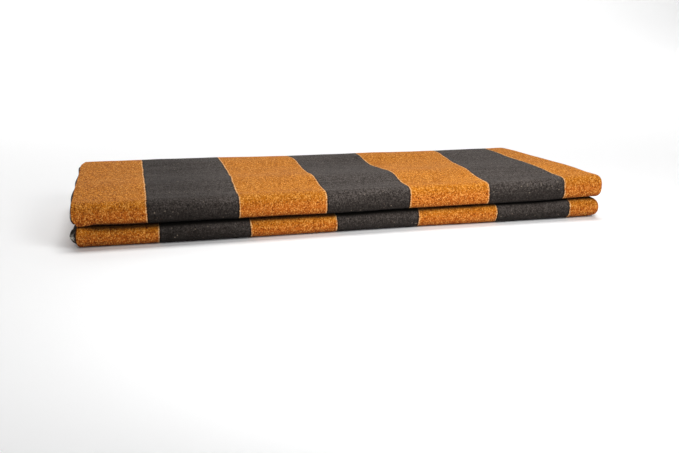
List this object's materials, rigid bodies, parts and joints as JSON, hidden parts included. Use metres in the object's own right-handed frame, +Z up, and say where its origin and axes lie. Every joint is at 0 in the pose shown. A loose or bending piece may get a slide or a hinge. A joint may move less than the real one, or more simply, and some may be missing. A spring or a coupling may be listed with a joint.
{
  "type": "folded lungi",
  "caption": "Folded cotton lungi with broad stripes, its ends turned in and the bundle shut like a book, lying flat with smooth rolls along its front.",
  "frame": {"origin": "centre of the bounding box, on the flat underside", "axes": "+X along the rolls, from the end with the selvedges to the end with smooth creases; +Y from the front rolls to the back fold; +Z up"},
  "size_m": [0.316, 0.13, 0.0288],
  "materials": {
    "striped_cotton": "plain-woven handloom cotton with broad orange and charcoal stripes, dark flecks in the orange, matt with a faint sheen",
    "selvedge": "the firm woven edges of the same cotton, with pale edge threads"
  },
  "bodies": {
    "root": {"upper_fold": "striped_cotton", "back_fold": "striped_cotton", "lower_fold": "striped_cotton", "inner_layers": "striped_cotton", "selvedges": "selvedge"}
  },
  "joints": []
}
